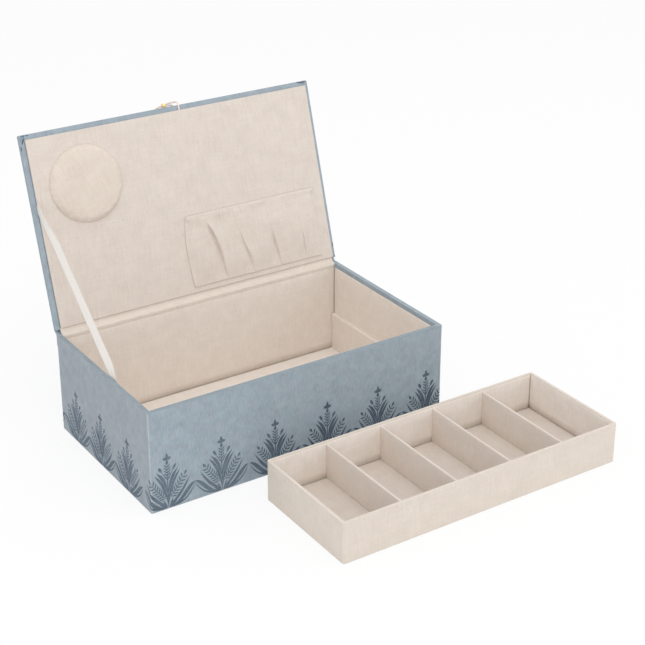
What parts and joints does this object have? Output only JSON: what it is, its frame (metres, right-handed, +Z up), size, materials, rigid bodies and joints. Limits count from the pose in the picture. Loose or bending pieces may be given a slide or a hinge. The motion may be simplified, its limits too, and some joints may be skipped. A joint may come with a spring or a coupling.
{
  "type": "sewing box",
  "caption": "Rectangular cloth-covered sewing box with an open hinged lid holding a pincushion and a gathered pocket, and a lift-out tray with equal compartments.",
  "frame": {"origin": "middle of the underside of the box body, on the surface that it stands on", "axes": "+X to the right along the box's length, +Y to the back where the lid is hinged, +Z up"},
  "size_m": [0.4215, 0.4238, 0.2992],
  "materials": {
    "greyboard": "plain greyboard",
    "printed_cloth": "plain-woven blue-grey cloth with a printed border of leaf fans",
    "cover_cloth": "plain-woven blue-grey cloth",
    "natural_linen": "undyed slubby linen",
    "white_ribbon": "satin ribbon",
    "elastic": "knitted elastic",
    "pull_braid": "fine braided cord",
    "gold_metal": "polished"
  },
  "bodies": {
    "box": {"base_board": "greyboard", "base_sheet": "cover_cloth", "outer_cover": "printed_cloth", "front_wall_board": "greyboard", "back_wall_board": "greyboard", "left_wall_board": "greyboard", "right_wall_board": "greyboard", "front_lining": "natural_linen", "back_lining": "natural_linen", "left_lining": "natural_linen", "right_lining": "natural_linen", "floor_lining": "natural_linen", "left_ledge": "natural_linen", "right_ledge": "natural_linen", "outer_hinge_cloth": "cover_cloth", "inner_hinge_strip": "natural_linen", "ribbon_stay": "white_ribbon"},
    "lid": {"lid_board": "greyboard", "lid_cover": "cover_cloth", "lid_lining": "natural_linen", "pincushion_disc": "greyboard", "pincushion_pad": "natural_linen", "pocket": "natural_linen", "pocket_elastic": "elastic", "pull_cord": "pull_braid", "pull_ferrule": "gold_metal"},
    "tray": {"tray_base_sheet": "natural_linen", "tray_cover": "natural_linen", "tray_base_board": "greyboard", "tray_front_board": "greyboard", "tray_back_board": "greyboard", "tray_left_board": "greyboard", "tray_right_board": "greyboard", "tray_floor_lining": "natural_linen", "tray_front_lining": "natural_linen", "tray_back_lining": "natural_linen", "tray_left_lining": "natural_linen", "tray_right_lining": "natural_linen", "divider_boards": "greyboard", "divider_wrap_1": "natural_linen", "divider_wrap_2": "natural_linen", "divider_wrap_3": "natural_linen", "divider_wrap_4": "natural_linen"}
  },
  "joints": [
    {"name": "lid_hinge", "type": "hinge", "parent": "box", "child": "lid", "pos_m": [0, 0.0972, 0.1078], "axis": [1, 0, 0], "range_deg": [0, 106.9], "deforming": ["ribbon_stay", "inner_hinge_strip", "outer_hinge_cloth"]},
    {"name": "tray_lift", "type": "slide", "parent": "box", "child": "tray", "axis": [0, 0, 1], "range_m": [0, 0.12]}
  ]
}
